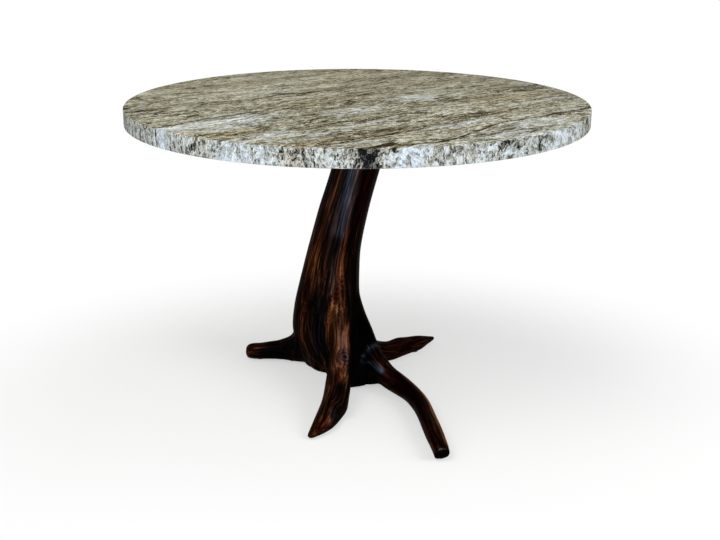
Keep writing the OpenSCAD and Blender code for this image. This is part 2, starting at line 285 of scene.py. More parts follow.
graniteFinishes = {
    # polished by machine and seen in even light: full colour, next to no gloss, fine grain seen flat
    "polished granite face": {
        "shader": {"Roughness": 0.42, "Specular IOR Level": 0.002, "IOR": 1.5},
        "stops": [(0.0, "#151108"), (0.16, "#39311c"), (0.32, "#675f44"), (0.48, "#8f8b74"),
                  (0.62, "#afae9c"), (0.78, "#cdcec2"), (1.0, "#e8eae6")],
        "bands": ((420, 80, 260), 0.6), "lenses": ((26, 8, 22), 0.36), "crystals": ((7, 3.6, 12), 0.46),
        "specks": ((3.2, 2.0, 5), 0.92), "hairlines": 0.45,
        "blue": "#b3babc", "brown": "#7d7256", "bump": 0.02,
    },
    # cut by saw and rubbed by hand: the crystals stand out brighter, white and blue against black
    "honed granite edge": {
        "shader": {"Roughness": 0.5, "Specular IOR Level": 0.02, "IOR": 1.5},
        "stops": [(0.0, "#08090b"), (0.14, "#2b2d2b"), (0.3, "#66665d"), (0.44, "#8b8d85"),
                  (0.58, "#9da19d"), (0.74, "#adb4b7"), (1.0, "#c8cfd4")],
        "bands": ((380, 60, 260), 0.4), "lenses": ((26, 10, 24), 0.3), "crystals": ((5, 4.0, 7), 0.48),
        "specks": ((2.6, 2.1, 3.8), 0.86), "hairlines": 0.3,
        "blue": "#a8b3bb", "brown": "#7a7668", "bump": 0.12,
    },
    # sawn underside: dull grey, dusty
    "sawn granite underside": {
        "shader": {"Roughness": 0.8, "Specular IOR Level": 0.2, "IOR": 1.5},
        "stops": [(0.0, "#4a4740"), (0.3, "#777366"), (0.5, "#8f8b7e"), (0.7, "#a3a096"), (1.0, "#bdbcb6")],
        "bands": ((420, 80, 260), 0.5), "lenses": ((30, 10, 26), 0.2), "crystals": ((8, 4.5, 12), 0.3),
        "specks": ((3.4, 2.4, 5), 0.5), "hairlines": 0.4,
        "blue": "#a9b0b6", "brown": "#8a7f66", "bump": 0.2,
    },
}


def makeGranite(name, finish, stone, patches, veins):
    material, tree, surface = startMaterial(name, finish["shader"])
    node = partial(addNode, tree)
    objectPlace = node("ShaderNodeTexCoord", out=3)
    turn = (0, 0, -math.radians(stone["strikeDegrees"]))
    place = node("ShaderNodeMapping", {0: objectPlace, "Rotation": turn, "Scale": (1 / mm,) * 3})

    def sway(vector, size, reach):
        # bends the stone's pattern by up to reach mm over lengths of size
        scaled = node("ShaderNodeMapping", {0: vector, "Scale": perSize(size)})
        wander = node("ShaderNodeTexNoise", {"Vector": scaled, "Scale": 1.0, "Detail": 1.0}, out=1)
        centred = node("ShaderNodeVectorMath", {0: wander, 1: (0.5, 0.5, 0.5)}, operation="SUBTRACT")
        return node("ShaderNodeVectorMath", {0: centred, 1: [2 * r for r in reach], 2: vector},
                    operation="MULTIPLY_ADD")

    bent = sway(sway(place, *stone["slowBend"]), *stone["quickBend"])
    ragged = sway(bent, *stone["ragged"])
    wavy = sway(place, *stone["wavy"])

    # one mineral index, dark to light: soft bands, lens-shaped clots, crystals and fine specks
    layers = [finish[part] for part in ("bands", "lenses", "crystals", "specks")]
    index = 0.5 - sum(weight for size, weight in layers) / 2
    seen = []
    for (size, weight), kind, vector in zip(layers, ("Noise", "Voronoi", "Voronoi", "Noise"),
                                            (bent, ragged, ragged, place)):
        scaled = node("ShaderNodeMapping", {0: vector, "Scale": perSize(size)})
        pattern = node("ShaderNodeTex" + kind, {"Vector": scaled, "Scale": 1.0}, out=1)
        channels = node("ShaderNodeSeparateColor", {0: pattern}).node.outputs
        index = node("ShaderNodeMath", {0: channels[0], 1: weight, 2: index}, operation="MULTIPLY_ADD")
        seen.append(channels)
    crystal = seen[2]
    relief = index

    # the stone is calmer towards its back
    back = node("ShaderNodeSeparateXYZ", {0: objectPlace}, out=1)
    calm = node("ShaderNodeMapRange", {0: back, 1: stone["calmFrom"] * mm, 2: stone["calmTo"] * mm, 3: 1.0,
                                       4: stone["calmest"]})
    index = node("ShaderNodeMath", {0: index, 1: 0.5}, operation="SUBTRACT")
    index = node("ShaderNodeMath", {0: index, 1: calm, 2: 0.5}, operation="MULTIPLY_ADD")

    # soft patches with a frayed rim, and each crystal's own lean to blue or brown
    lean, fray = stone["crystalHue"], stone["fray"]
    hue = node("ShaderNodeMath", {0: crystal[1], 1: 2 * lean, 2: -lean}, operation="MULTIPLY_ADD")
    scaled = node("ShaderNodeMapping", {0: place, "Scale": perSize(stone["fraySize"])})
    frayed = node("ShaderNodeTexNoise", {"Vector": scaled, "Scale": 1.0, "Detail": 5.0, "Roughness": 0.75})
    frayed = node("ShaderNodeMath", {0: frayed, 1: 2 * fray, 2: -fray}, operation="MULTIPLY_ADD")
    outer, inner = stone["patchRim"]
    lightened, blued = 0.0, 0.0
    for u, v, halfLength, halfWidth, lighter, bluer in patches:
        middle, size = (u, v, stone["patchHeight"]), (halfLength, halfWidth, stone["patchDepth"])
        local = node("ShaderNodeMapping", {0: wavy, "Location": middle, "Scale": size},
                     vector_type="TEXTURE")
        away = node("ShaderNodeVectorMath", {0: local}, out=1, operation="LENGTH")
        away = node("ShaderNodeMath", {0: away, 1: frayed}, operation="ADD")
        here = node("ShaderNodeMapRange", {0: away, 1: outer, 2: inner}, interpolation_type="SMOOTHSTEP")
        lightened = node("ShaderNodeMath", {0: here, 1: lighter, 2: lightened}, operation="MULTIPLY_ADD")
        blued = node("ShaderNodeMath", {0: here, 1: bluer, 2: blued}, operation="MULTIPLY_ADD")
    index = node("ShaderNodeMath", {0: index, 1: lightened}, operation="ADD")
    hue = node("ShaderNodeMath", {0: hue, 1: blued}, operation="ADD")

    # veins: how far a place lies from each vein's way over the slab, up to just before its ends
    parts = node("ShaderNodeSeparateXYZ", {0: wavy}).node.outputs
    span = stone["veinSpan"]
    outer, inner = stone["veinRim"]
    veined = 0.0
    for way, halfWidth, strength in veins:
        first, last = way[0][0], way[-1][0]
        along = node("ShaderNodeMapRange", {0: parts[0], 1: first, 2: last})
        across = node("ShaderNodeFloatCurve", {"Value": along})
        curve = across.node.mapping.curves[0]
        for number, (u, v) in enumerate(way):
            spot = ((u - first) / (last - first), v / span + 0.5)
            if number < 2:
                curve.points[number].location = spot
            else:
                curve.points.new(*spot)
        across.node.mapping.update()
        centre = node("ShaderNodeMath", {0: across, 1: span, 2: -span / 2}, operation="MULTIPLY_ADD")
        away = node("ShaderNodeMath", {0: parts[1], 1: centre}, operation="SUBTRACT")
        away = node("ShaderNodeMath", {0: away}, operation="ABSOLUTE")
        core = node("ShaderNodeMapRange", {0: away, 1: halfWidth * outer, 2: halfWidth * inner,
                                           4: strength}, interpolation_type="SMOOTHSTEP")
        ends = node("ShaderNodeMath", {0: along, 1: 0.5, 2: 0.49}, operation="COMPARE")
        core = node("ShaderNodeMath", {0: core, 1: ends}, operation="MULTIPLY")
        veined = node("ShaderNodeMath", {0: veined, 1: core}, operation="MAXIMUM")

    # hairlines: the crest of a stretched noise, broken up by another
    scaled = node("ShaderNodeMapping", {0: bent, "Scale": perSize(stone["hairlineSize"])})
    crest = node("ShaderNodeTexNoise", {"Vector": scaled, "Scale": 1.0, "Detail": 3.0, "Roughness": 0.6})
    crest = node("ShaderNodeMath", {0: crest, 1: 0.5, 2: 0.0}, operation="COMPARE")
    scaled = node("ShaderNodeMapping", {0: place, "Scale": perSize(stone["gapSize"])})
    gaps = node("ShaderNodeTexNoise", {"Vector": scaled, "Scale": 1.0})
    start, full = stone["gapRange"]
    gaps = node("ShaderNodeMapRange", {0: gaps, 1: start, 2: full, 4: stone["hairlineHalf"]})
    link(tree, gaps, crest.node, 2)
    dark = node("ShaderNodeMath", {0: crest, 1: finish["hairlines"]}, operation="MULTIPLY")
    dark = node("ShaderNodeMath", {0: dark, 1: veined}, operation="MAXIMUM")
    faintest, strongest = stone["lineShow"]
    broken = node("ShaderNodeMapRange", {0: crystal[2], 3: faintest, 4: strongest})
    dark = node("ShaderNodeMath", {0: dark, 1: broken}, operation="MULTIPLY")
    index = node("ShaderNodeMath", {0: index, 1: dark}, operation="SUBTRACT")
    colour = node("ShaderNodeValToRGB", {0: index}, stops=finish["stops"])

    # pale crystals turn blue-grey, dark ones brown, by patch and by crystal
    paleFrom, paleTo = stone["paleRange"]
    start, full = stone["tintRange"]
    bluer = node("ShaderNodeMapRange", {0: hue, 1: start, 2: full, 4: stone["bluest"]})
    pale = node("ShaderNodeMapRange", {0: index, 1: paleFrom, 2: paleTo})
    bluer = node("ShaderNodeMath", {0: bluer, 1: pale}, operation="MULTIPLY")
    browner = node("ShaderNodeMapRange", {0: hue, 1: -start, 2: -full, 4: stone["brownest"]})
    for share, tint in ((bluer, finish["blue"]), (browner, finish["brown"])):
        colour = node("ShaderNodeMix", {0: share, 6: colour, 7: linear(tint)}, out=2, data_type="RGBA",
                      blend_type="COLOR")
    link(tree, colour, surface, "Base Color")
    bump = node("ShaderNodeBump", {"Strength": 1.0, "Distance": finish["bump"] * mm, "Height": relief})
    link(tree, bump, surface, "Normal")
    return material


graniteMaterials = [makeGranite(name, finish, granite, granitePatches, graniteVeins)
                    for name, finish in graniteFinishes.items()]
print("granite ready")

# The slab, turned from its profile by Geometry Nodes
slab = {
    "Diameter": 1.219,
    "Thickness": 0.045,
    "Underside": 0.705,
    "Rim Radius": 0.003,
    "Chip Depth": 0.0007,
    "Chip Size": 0.009,
    "Segments": 720,
    "Seed": 7.0,
}


def slabTree(values, materials):
    tree = bpy.data.node_groups.new("turnedSlab", "GeometryNodeTree")
    for name, value in values.items():
        kind = "NodeSocketInt" if isinstance(value, int) else "NodeSocketFloat"
        tree.interface.new_socket(name, in_out="INPUT", socket_type=kind)
    tree.interface.new_socket("Geometry", in_out="OUTPUT", socket_type="NodeSocketGeometry")
    node = partial(addNode, tree)
    given = node("NodeGroupInput").node.outputs

    radius = node("ShaderNodeMath", {0: given["Diameter"], 1: 0.5}, operation="MULTIPLY")
    upper = node("ShaderNodeMath", {0: given["Underside"], 1: given["Thickness"]}, operation="ADD")
    number = node("GeometryNodeInputIndex")
    rimSteps, spanCuts = 4, 7
    chipFrom, chipFull = 0.52, 0.75
    edgeLean = 0.7  # faces whose normal's height stays below this belong to the edge

    # half section: centre below, rim below, rim above, centre above
    onRim = node("ShaderNodeMath", {0: number, 1: 1.5, 2: 0.6}, operation="COMPARE")
    outer = node("ShaderNodeMath", {0: onRim, 1: radius}, operation="MULTIPLY")
    above = node("ShaderNodeMath", {0: number, 1: 1.5}, operation="GREATER_THAN")
    height = node("ShaderNodeMix", {0: above, 2: given["Underside"], 3: upper}, data_type="FLOAT")
    corner = node("ShaderNodeCombineXYZ", {0: outer, 2: height})
    line = node("GeometryNodeMeshLine", {"Count": 4})
    line = node("GeometryNodeSetPosition", {"Geometry": line, "Position": corner})
    curve = node("GeometryNodeMeshToCurve", {0: line})
    fillet = node("GeometryNodeFilletCurve", {"Curve": curve, "Radius": given["Rim Radius"],
                                              "Count": rimSteps}, mode="POLY")
    # the long spans get more points, so that chips stay at the rim
    spanStart = node("ShaderNodeMath", {0: number, 1: rimSteps + 1}, operation="MODULO")
    spanStart = node("ShaderNodeMath", {0: spanStart, 1: 0.5}, operation="LESS_THAN")
    cuts = node("ShaderNodeMath", {0: spanStart, 1: spanCuts}, operation="MULTIPLY")
    cuts = node("FunctionNodeFloatToInt", {0: cuts})
    profile = node("GeometryNodeSubdivideCurve", {"Curve": fillet, "Cuts": cuts})
    points = node("GeometryNodeCurveToMesh", {0: profile})
    count = node("GeometryNodeAttributeDomainSize", {0: points})

    # turned about the centre line
    around = node("ShaderNodeMath", {0: given["Segments"], 1: 1.0}, operation="ADD")
    sheet = node("GeometryNodeMeshGrid", {"Vertices X": around, "Vertices Y": count})
    row = node("ShaderNodeMath", {0: number, 1: count}, operation="DIVIDE")
    row = node("ShaderNodeMath", {0: row}, operation="FLOOR")
    before = node("ShaderNodeMath", {0: row, 1: count}, operation="MULTIPLY")
    step = node("ShaderNodeMath", {0: number, 1: before}, operation="SUBTRACT")
    position = node("GeometryNodeInputPosition")
    sample = node("GeometryNodeSampleIndex", {"Geometry": points, "Value": position, "Index": step},
                  data_type="FLOAT_VECTOR")
    share = node("ShaderNodeMath", {0: row, 1: given["Segments"]}, operation="DIVIDE")
    angle = node("ShaderNodeMath", {0: share, 1: math.tau}, operation="MULTIPLY")
    turned = node("ShaderNodeVectorRotate", {0: sample, "Angle": angle}, rotation_type="Z_AXIS")
    body = node("GeometryNodeSetPosition", {"Geometry": sheet, "Position": turned})
    body = node("GeometryNodeMergeByDistance", {"Geometry": body, "Distance": 1e-5})

    # small chips in the cut edge and just inside its rim
    noiseScale = node("ShaderNodeMath", {0: 1.0, 1: given["Chip Size"]}, operation="DIVIDE")
    rough = node("ShaderNodeTexNoise", {"Vector": position, "W": given["Seed"], "Scale": noiseScale,
                                        "Detail": 2.0}, noise_dimensions="4D")
    chip = node("ShaderNodeMapRange", {0: rough, 1: chipFrom, 2: chipFull})
    place = node("ShaderNodeSeparateXYZ", {0: position}).node.outputs
    flat = node("ShaderNodeCombineXYZ", {0: place[0], 1: place[1]})
    outwards = node("ShaderNodeVectorMath", {0: flat}, operation="NORMALIZE")
    reach = node("ShaderNodeVectorMath", {0: flat}, out=1, operation="LENGTH")
    inner = node("ShaderNodeMath", {0: given["Rim Radius"], 1: -1.5, 2: radius}, operation="MULTIPLY_ADD")
    nearRim = node("ShaderNodeMath", {0: reach, 1: inner}, operation="GREATER_THAN")
    depth = node("ShaderNodeMath", {0: chip, 1: nearRim}, operation="MULTIPLY")
    depth = node("ShaderNodeMath", {0: depth, 1: given["Chip Depth"]}, operation="MULTIPLY")
    depth = node("ShaderNodeMath", {0: depth, 1: -1.0}, operation="MULTIPLY")
    inwards = node("ShaderNodeVectorMath", {0: outwards, 3: depth}, operation="SCALE")
    body = node("GeometryNodeSetPosition", {"Geometry": body, "Offset": inwards})

    # polished face above, honed edge, sawn underside
    normal = node("GeometryNodeInputNormal")
    facing = node("ShaderNodeSeparateXYZ", {0: normal}, out=2)
    below = node("ShaderNodeMath", {0: facing, 1: -edgeLean}, operation="LESS_THAN")
    onEdge = node("ShaderNodeMath", {0: facing, 1: 0.0, 2: edgeLean}, operation="COMPARE")
    body = node("GeometryNodeSetShadeSmooth", {"Geometry": body, "Selection": onEdge})
    body = node("GeometryNodeRealizeInstances", {0: body})
    for material, faces in zip(materials, (True, onEdge, below)):
        body = node("GeometryNodeSetMaterial", {"Geometry": body, "Selection": faces, "Material": material})
    node("NodeGroupOutput", {0: body})
    return tree


def fromNodes(name, tree, values):
    # runs a node tree with the given values and keeps the result as a plain mesh
    holder = addObject(name + "_maker", bpy.data.meshes.new(name + "_start"))
    modifier = holder.modifiers.new("maker", "NODES")
    modifier.node_group = tree
    for item in tree.interface.items_tree:
        if item.item_type == "SOCKET" and item.in_out == "INPUT":
            modifier[item.identifier] = values[item.name]
    bpy.context.view_layer.update()
    graph = bpy.context.evaluated_depsgraph_get()
    mesh = bpy.data.meshes.new_from_object(holder.evaluated_get(graph), depsgraph=graph)
    bpy.data.objects.remove(holder)
    return addObject(name, mesh)


slabPiece = fromNodes("granite_slab", slabTree(slab, graniteMaterials), slab)
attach(slabPiece, "root")
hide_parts("granite_top")
print("slab ready", len(slabPiece.data.vertices), "points", [round(v, 4) for v in slabPiece.dimensions])

# The trunk and its roots
stump = {
    "creaseFill": 0.008,
    "coarseVoxel": 0.0042,
    "fineVoxel": 0.0032,
    "creaseSmoothing": 6,
    "smoothSteps": 14,
    "smoothing": (0.5, 0.52),  # inwards, then a little more outwards, so that nothing shrinks
    "flutes": [((26, 26, 420), 0.9, 3.0), ((11, 11, 260), 0.5, 9.0)],
    "unevenness": ((90, 90, 120), 1.6, 21.0),
    "floorGap": 0.004,
    "topHeight": 0.695,
}
# middle of the trunk in mm at some heights: z, x, y, half width, half depth
trunkLine = [
    (0, -46, -8, 92, 83), (110, -80, -10, 98, 97), (165, -82, -10, 94, 95), (225, -79, -8, 86, 89),
    (335, -65, -4, 73, 79), (450, -38, 0, 69, 72), (560, -7, 1, 66, 68), (695, 30, 0, 65, 66),
]
# middle of each root in mm, from where it leaves the trunk to its tip: x, y, z, half width
rootLines = {
    "left": [(-110, 20, 330, 17), (-125, 28, 215, 33), (-140, 33, 120, 35), (-160, 36, 60, 38),
             (-214, 43, 31, 30), (-275, 50, 20, 24), (-314, 54, 19, 20)],
    "front": [(-45, -55, 350, 12), (-41, -82, 240, 23), (-39, -110, 150, 33), (-42, -174, 76, 37),
              (-46, -227, 50, 35), (-55, -330, 32, 31), (-81, -429, 16, 24), (-114, -488, 8, 8)],
    "right": [(-32, -9, 310, 18), (-18, -24, 210, 29), (7, -63, 122, 37), (26, -90, 88, 36),
              (50, -122, 58, 34), (81, -159, 34, 30), (117, -207, 26, 27), (146, -258, 23, 24),
              (170, -333, 21, 23), (184, -432, 20, 22), (201, -565, 20, 21), (204, -606, 19, 19)],
    "back": [(-39, -4, 262, 23), (-20, 10, 150, 32), (13, 22, 70, 32), (44, 25, 40, 34), (83, 40, 25, 30),
             (141, 87, 24, 25), (171, 115, 21, 21), (230, 194, 8, 6)],
}
# where the wood is lighter or darker, golden (above 0) or grey-blue (below 0), and red; most rows give the
# wood's own colour, some give painted shade, painted sheen and painted highlights, as marked:
# a line over the wood in mm, its reach, and the change of light, golden and red
woodTonesAndPaintedLight = [
    # ridge and sides of the front root, with the ground of its knot
    ([(-60, -106, 205), (-56, -122, 160), (-48, -180, 110), (-52, -240, 70)], 14, 0.2, 0.2, 0.0),
    ([(-40, -130, 150), (-36, -175, 115), (-40, -215, 92)], 14, 0.28, -0.3, 0.2),
    # golden band on the front root's left side, partly lightened as painted light from the left
    ([(-66, -98, 215), (-78, -110, 130), (-80, -150, 100), (-80, -285, 52)], 12, 0.14, 0.55, 0.2),
    ([(-31, -109, 232), (-26, -135, 160), (-20, -162, 123)], 7, 0.1, 0.5, 0.4),
    ([(-31, -200, 105), (-31, -202, 103)], 16, 0.06, -0.3, 0.1),
    ([(-18, -90, 300), (-12, -104, 230), (-6, -118, 170), (-8, -165, 110), (-12, -230, 70)],
     14, -0.45, 0.0, 0.2),
    ([(-36, -225, 82), (-40, -265, 68)], 17, 0.26, 0.1, 0.2),
    ([(-40, -312, 58), (-46, -362, 46)], 18, -0.18, -0.1, 0.2),
    ([(-44, -370, 28), (-57, -412, 30)], 13, -0.08, -0.5, 0.0),
    ([(-88, -440, 33), (-106, -482, 16)], 20, 0.12, 0.3, 0.4),
    # painted highlight along the edge of the tip's cut facet
    ([(-67, -400, 46), (-66, -437, 31)], 6, 0.18, 0.1, 0.0),
    ([(-52, -320, 50), (-46, -400, 36)], 22, 0.02, -0.1, 0.3),
    # painted light on the left-facing side of the front root
    ([(-75, -300, 45), (-95, -400, 30)], 18, 0.3, 0.2, 0.1),
    # belly, a painted grey sheen down the trunk, and the streaks down the trunk
    ([(-140, -45, 400), (-150, -62, 217), (-165, -60, 130)], 40, 0.05, 0.2, 0.1),
    ([(-98, -92, 225), (-104, -104, 144), (-100, -94, 84)], 25, -0.2, -0.6, 0.0),
    # painted sheen: a pale grey-blue band down the front of the trunk, where a lamp's reflection would show
    ([(-10, -66, 640), (-16, -66, 574), (-27, -69, 510), (-37, -72, 445), (-46, -75, 415)],
     20, 0.32, -0.75, -0.1),
    # painted sheen, fainter, where the band runs on down towards the belly
    ([(-50, -76, 400), (-61, -83, 331), (-68, -92, 262)], 14, 0.04, -0.4, -0.2),
    # painted shade at the foot of the hollow, next to the floor
    ([(12, -148, 10), (46, -146, 10), (70, -158, 10)], 22, -0.5, -0.3, -0.3),
    ([(-36, -74, 420), (-60, -88, 330), (-66, -94, 260)], 26, -0.06, 0.1, 0.3),
    # painted shade down the right side of the trunk, with some red
    ([(60, -40, 660), (30, -55, 480), (5, -60, 350), (3, -50, 230)], 36, -0.24, 0.0, 0.4),
    ([(46, -55, 620), (29, -57, 559), (13, -59, 508), (0, -62, 461), (-13, -66, 429), (-22, -69, 405),
      (-37, -76, 363), (-42, -87, 296)], 6, 0.17, 0.3, 0.5),
    # painted grey sheen over the left and middle of the trunk, a little darker
    ([(-20, -40, 640), (-80, -50, 400)], 60, -0.06, -0.25, 0.0),
    ([(-38, -62, 640), (-53, -57, 528), (-72, -52, 486), (-89, -51, 439), (-102, -61, 372),
      (-119, -68, 303)], 9, 0.07, 0.5, 0.3),
    # the hollow between front and right root: painted shade that darkens it down to the floor, three
    # grey-blue strokes of painted sheen, and a red streak
    ([(30, -70, 260), (18, -90, 170), (40, -90, 130)], 30, -0.3, 0.0, 0.0),
    ([(8, -90, 200), (12, -100, 140), (15, -150, 60), (0, -250, 20)], 34, -0.5, -0.4, 0.0),
    # painted sheen: three pale grey-blue strokes on the hollow's facets
    ([(18, -130, 82), (34, -122, 97), (50, -114, 105)], 9, 0.48, -1.4, 0.0),
    ([(15, -140, 66), (33, -142, 65)], 7, 0.4, -1.3, 0.0),
    ([(42, -150, 66), (54, -163, 58), (66, -175, 54)], 8, 0.36, -1.2, 0.0),
    ([(60, -160, 62), (78, -190, 48), (98, -218, 38)], 12, 0.12, -0.2, 0.9),
    # left root, back root, and the right root with its pale top line, its sawn end and a painted highlight
    # on that end's rim
    ([(-150, 0, 70), (-253, 23, 34)], 40, -0.26, -0.5, 0.0),
    ([(-285, 40, 44), (-318, 50, 20)], 24, 0.02, 0.25, 0.5),
    ([(90, 25, 45), (230, 180, 20)], 40, -0.06, 0.2, 0.4),
    ([(-175, 32, 86), (-214, 38, 60), (-285, 46, 45)], 11, 0.22, 0.4, 0.2),
    ([(100, -190, 50), (136, -262, 42), (158, -335, 38), (172, -432, 36), (190, -575, 36)],
     15, -0.16, 0.0, 0.7),
    ([(134, -200, 44), (164, -256, 40), (189, -333, 38), (202, -432, 36), (217, -570, 35)],
     12, 0.34, 1.0, 0.0),
    ([(200, -612, 20), (212, -602, 16)], 14, -0.5, -0.4, 0.0),
    # painted highlight along the upper rim of the sawn end
    ([(188, -608, 36), (212, -602, 37)], 4, 0.55, -0.8, 0.0),
]
# flat faces left by the saw and the drawknife: a point on each in mm, which way it faces, and its reach
woodCuts = [
    {"point": (190, -609, 34), "faces": (0.30, -0.86, -0.41), "reach": 60},
    {"point": (-66, -437, 31), "faces": (0.76, -0.21, 0.62), "reach": 75},
    {"point": (-66, -437, 31), "faces": (-0.09, -0.35, 0.93), "reach": 75},
]
# places that stand out or lie back: middle in mm, reach, and height
woodSwells = [
    ((-310, 54, 20), 46, 4.0),
    ((-36, -352, 16), 34, 4.0),
    ((30, 26, 92), 34, -9.0),
    ((30, -120, 60), 40, -6.0),
    ((85, 45, 26), 34, 3.0),
    ((62, 32, 66), 22, -5.0),
    ((120, 70, 48), 24, 5.0),
    ((176, 122, 6), 30, 4.0),
]
# lip under the belly: heights in mm at some angles around the trunk, in degrees from +X
bellyLip = {"middle": (-70, -9), "angles": (185, 211, 222, 235, 246, 255, 262),
            "heights": (86, 74, 64, 54, 45, 31, 10), "depth": 9, "softness": 12,
            "fadeDegrees": (20, 6), "fadeFrom": 108, "fadeOver": 10}
# the knot: the fibres run around it and its core shows rings, light and dark
knot = {"place": (-31, -200, 103), "reach": 22, "height": 3.6, "ringWidth": 9.5, "ringDepth": 0.6,
        "ringShade": 0.15, "parting": 0.8}


def smoothLine(points, steps=8):
    # a curve through the points, for roots that bend
    points = np.array(points, float)
    padded = np.vstack([2 * points[0] - points[1], points, 2 * points[-1] - points[-2]])
    found = []
    for k in range(1, len(padded) - 2):
        before, start, end, after = padded[k - 1:k + 3]
        square = 2 * before - 5 * start + 4 * end - after
        cube = 3 * start - before - 3 * end + after
        for t in np.arange(steps) / steps:
            found.append(0.5 * (2 * start + (end - before) * t + square * t * t + cube * t ** 3))
    found.append(points[-1])
    return np.array(found)


def readPoints(mesh, what="co"):
    flat = np.empty(len(mesh.vertices) * 3)
    mesh.vertices.foreach_get(what, flat)
    return flat.reshape(-1, 3)


def writePoints(mesh, points):
    mesh.vertices.foreach_set("co", points.ravel())
    mesh.update()


def spread(values, edges, counts):
    # each point gets the mean of its neighbours
    total = np.zeros_like(values)
    for axis in range(values.shape[1]):
        total[:, axis] = (np.bincount(edges[:, 0], values[edges[:, 1], axis], len(values))
                          + np.bincount(edges[:, 1], values[edges[:, 0], axis], len(values)))
    return total / counts[:, None]


def meshEdges(mesh):
    flat = np.empty(len(mesh.edges) * 2, np.int64)
    mesh.edges.foreach_get("vertices", flat)
    edges = flat.reshape(-1, 2)
    counts = np.bincount(edges.ravel(), minlength=len(mesh.vertices)).astype(float)
    return edges, np.maximum(counts, 1)


def fineCopy(node, values):
    # a copy of the CAD solid with its creases filled and an even, fine mesh
    mesh = cadNodes[node].data.copy()
    build = bmesh.new()
    build.from_mesh(mesh)
    bmesh.ops.remove_doubles(build, verts=build.verts, dist=1e-5)
    build.to_mesh(mesh)
    build.free()
    piece = addObject("rosewood_stump", mesh)
    voxel, fill = values["coarseVoxel"], values["creaseFill"]
    for kind, amount in (("REMESH", voxel), ("DISPLACE", fill), ("REMESH", voxel),
                         ("SMOOTH", values["creaseSmoothing"]), ("DISPLACE", -fill),
                         ("REMESH", values["fineVoxel"])):
        modifier = piece.modifiers.new(kind, kind)
        if kind == "REMESH":
            modifier.mode = "VOXEL"
            modifier.voxel_size = amount
        elif kind == "DISPLACE":
            modifier.strength = amount
            modifier.mid_level = 0
        else:
            modifier.iterations = amount
            modifier.factor = 0.5
    graph = bpy.context.evaluated_depsgraph_get()
    fine = bpy.data.meshes.new_from_object(piece.evaluated_get(graph), depsgraph=graph)
    piece.modifiers.clear()
    piece.data = fine
    return piece


def grainPlaces(points):
    # coordinates that follow the fibres: across x, across y and along, in mm. Trunk and roots agree where
    # they meet, because a root's two side directions are carried along its line from the trunk's own.
    trunk = np.array(trunkLine, float)
    z = points[:, 2]
    middleX, middleY, halfX, halfY = (np.interp(z, trunk[:, 0], trunk[:, k]) for k in (1, 2, 3, 4))
    places = [np.stack([points[:, 0] - middleX, points[:, 1] - middleY, z], 1)]
    nearness = [np.hypot((points[:, 0] - middleX) / halfX, (points[:, 1] - middleY) / halfY)]
    for line in rootLines.values():
        samples = smoothLine(line)
        middle, half = samples[:, :3], samples[:, 3]
        way = np.gradient(middle, axis=0)
        way /= np.linalg.norm(way, axis=1)[:, None]
        gone = np.r_[0, np.cumsum(np.linalg.norm(np.diff(middle, axis=0), axis=1))]
        side = np.array([1.0, 0, 0])
        sides = []
        for direction in way:
            side = side - direction * (side @ direction)
            side /= np.linalg.norm(side)
            sides.append(side)
        sides = np.array(sides)
        others = np.cross(sides, way)
        apart = np.linalg.norm(points[:, None] - middle[None], axis=2)
        nearest = apart.argmin(1)
        gap = np.gradient(gone)[nearest]
        spot = nearest + ((points - middle[nearest]) * way[nearest]).sum(1) / gap
        numbers = np.arange(len(middle))
        middleHere, sideHere, otherHere = (
            np.stack([np.interp(spot, numbers, table[:, axis]) for axis in range(3)], 1)
            for table in (middle, sides, others))
        beyond = (spot - np.clip(spot, 0, len(middle) - 1)) * gap
        local = points - middleHere
        startX = middle[0, 0] - np.interp(middle[0, 2], trunk[:, 0], trunk[:, 1])
        startY = middle[0, 1] - np.interp(middle[0, 2], trunk[:, 0], trunk[:, 2])
        places.append(np.stack([
            (local * sideHere).sum(1) + startX,
            (local * otherHere).sum(1) + startY,
            middle[0, 2] - np.interp(spot, numbers, gone) - beyond,
        ], 1))
        nearness.append(apart.min(1) / half[nearest])
    # the nearest of them wins, with a short blend
    sharpness = 10
    weights = np.array([np.clip(n, 0.2, 9) ** -sharpness for n in nearness])
    weights /= weights.sum(0)
    return (weights[:, :, None] * np.array(places)).sum(0)


def lineDistance(points, line):
    best = np.full(len(points), 1e9)
    for start, end in zip(np.array(line[:-1], float), np.array(line[1:], float)):
        way = end - start
        share = np.clip((points - start) @ way / (way @ way), 0, 1)
        best = np.minimum(best, np.linalg.norm(points - start - share[:, None] * way, axis=1))
    return best


def waves(places, scale, seed):
    # smooth noise read at places divided by scale, from -1 to 1
    shifted = places / np.array(scale) + seed
    return np.array([noise.noise(Vector(p)) for p in shifted])


def knotRings(points):
    # how much a place belongs to the knot, and the wave of its rings
    away = np.linalg.norm(points - np.array(knot["place"]), axis=1)
    return np.exp(-(away / knot["reach"]) ** 4), np.cos(away / knot["ringWidth"] * math.tau)


def swellHeights(points):
    height = np.zeros(len(points))
    for middle, reach, rise in woodSwells:
        away = np.linalg.norm(points - np.array(middle), axis=1)
        height += rise * np.exp(-(away / reach) ** 2)
    within, rings = knotRings(points)
    return height + (knot["height"] + knot["ringDepth"] * rings) * within


def aroundKnot(points):
    # places from which the fibres are read, so that they part before the knot
    away = points - np.array(knot["place"])
    near = np.exp(-(np.linalg.norm(away, axis=1) / knot["reach"]) ** 2)
    return points - away * (knot["parting"] * near)[:, None]


